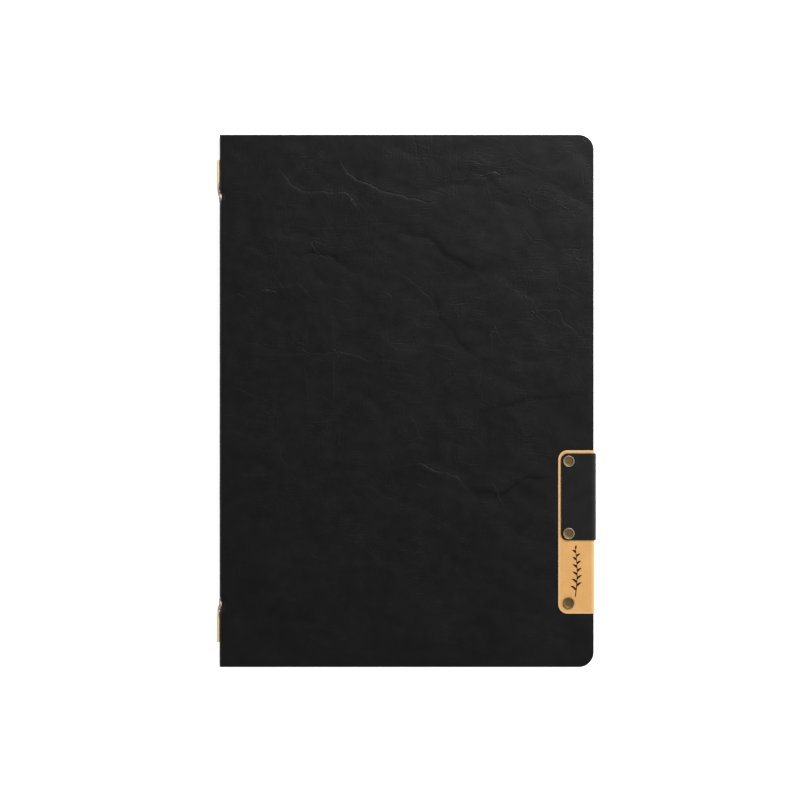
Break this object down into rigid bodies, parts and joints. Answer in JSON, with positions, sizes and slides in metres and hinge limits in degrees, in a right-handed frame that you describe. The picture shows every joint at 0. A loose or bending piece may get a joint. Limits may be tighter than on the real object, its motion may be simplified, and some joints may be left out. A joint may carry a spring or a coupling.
{
  "type": "leather document cover",
  "caption": "Soft black leather A4 folder cover with a laced spine, a tan leather label riveted round the fore-edge under a black patch, and folded paper sheets inside.",
  "frame": {"origin": "on the outer face of the back cover, under the middle of the closed object's box", "axes": "+X from the spine to the fore-edge, +Y up the page, +Z from the back cover to the front cover"},
  "size_m": [0.2282, 0.32, 0.0112],
  "materials": {
    "cover_leather": "crumpled black leather, semi-matt",
    "lining": "black book cloth",
    "board": "grey board",
    "tan_leather": "smooth vegetable-tanned leather, natural tan",
    "strap_leather": "pale vegetable-tanned leather",
    "patch_leather": "smooth black leather",
    "rivet_brass": "antiqued, bright on the rims",
    "eyelet_brass": "antiqued",
    "paper": "uncoated, off-white"
  },
  "bodies": {
    "back_cover": {"back_skin": "cover_leather", "back_board": "board", "back_lining": "lining"},
    "spine": {"spine_skin": "cover_leather", "spine_stiffener": "board", "spine_lining": "lining", "back_fold": "cover_leather", "back_fold_lining": "lining", "front_fold": "cover_leather", "front_fold_lining": "lining", "eyelet_top": "eyelet_brass", "eyelet_bottom": "eyelet_brass", "eyelet_washer_top": "eyelet_brass", "eyelet_washer_bottom": "eyelet_brass", "binding_strap": "strap_leather"},
    "front_cover": {"front_skin": "cover_leather", "front_board": "board", "front_lining": "lining", "edge_label": "tan_leather", "edge_patch": "patch_leather", "rivet_upper": "rivet_brass", "rivet_middle": "rivet_brass", "rivet_lower": "rivet_brass", "rivet_back_upper": "rivet_brass", "rivet_back_middle": "rivet_brass", "rivet_back_lower": "rivet_brass"},
    "outer_left_leaf": {"outer_sheet_left": "paper"},
    "outer_right_leaf": {"outer_sheet_right": "paper"},
    "middle_left_leaf": {"middle_sheet_left": "paper"},
    "middle_right_leaf": {"middle_sheet_right": "paper"},
    "inner_left_leaf": {"inner_sheet_left": "paper"},
    "inner_right_leaf": {"inner_sheet_right": "paper"}
  },
  "joints": [
    {"name": "back_fold_hinge", "type": "hinge", "parent": "back_cover", "child": "spine", "pos_m": [-0.11159, 0, 0.00074], "axis": [0, -1, 0], "range_deg": [0, 89.5], "deforming": ["back_fold", "back_fold_lining"]},
    {"name": "front_fold_hinge", "type": "hinge", "parent": "spine", "child": "front_cover", "pos_m": [-0.11159, 0, 0.00806], "axis": [0, -1, 0], "range_deg": [0, 89.5], "deforming": ["front_fold", "front_fold_lining"]},
    {"name": "outer_left_turn", "type": "hinge", "parent": "spine", "child": "outer_left_leaf", "pos_m": [-0.10988, 0, 0.0064], "axis": [0, -1, 0], "range_deg": [0, 88.61]},
    {"name": "outer_right_turn", "type": "hinge", "parent": "spine", "child": "outer_right_leaf", "pos_m": [-0.10988, 0, 0.0024], "axis": [0, -1, 0], "range_deg": [-88.61, 0]},
    {"name": "middle_left_turn", "type": "hinge", "parent": "spine", "child": "middle_left_leaf", "pos_m": [-0.10958, 0, 0.0061], "axis": [0, -1, 0], "range_deg": [0, 87.26]},
    {"name": "middle_right_turn", "type": "hinge", "parent": "spine", "child": "middle_right_leaf", "pos_m": [-0.10958, 0, 0.0027], "axis": [0, -1, 0], "range_deg": [-87.26, 0]},
    {"name": "inner_left_turn", "type": "hinge", "parent": "spine", "child": "inner_left_leaf", "pos_m": [-0.10927, 0, 0.0058], "axis": [0, -1, 0], "range_deg": [0, 85.92]},
    {"name": "inner_right_turn", "type": "hinge", "parent": "spine", "child": "inner_right_leaf", "pos_m": [-0.10927, 0, 0.003], "axis": [0, -1, 0], "range_deg": [-85.92, 0]}
  ],
  "couplings": [
    {"joint": "front_fold_hinge", "follows": "back_fold_hinge", "ratio": 1},
    {"joint": "outer_left_turn", "follows": "back_fold_hinge", "ratio": 0.99},
    {"joint": "outer_right_turn", "follows": "back_fold_hinge", "ratio": -0.99},
    {"joint": "middle_left_turn", "follows": "back_fold_hinge", "ratio": 0.975},
    {"joint": "middle_right_turn", "follows": "back_fold_hinge", "ratio": -0.975},
    {"joint": "inner_left_turn", "follows": "back_fold_hinge", "ratio": 0.96},
    {"joint": "inner_right_turn", "follows": "back_fold_hinge", "ratio": -0.96}
  ]
}
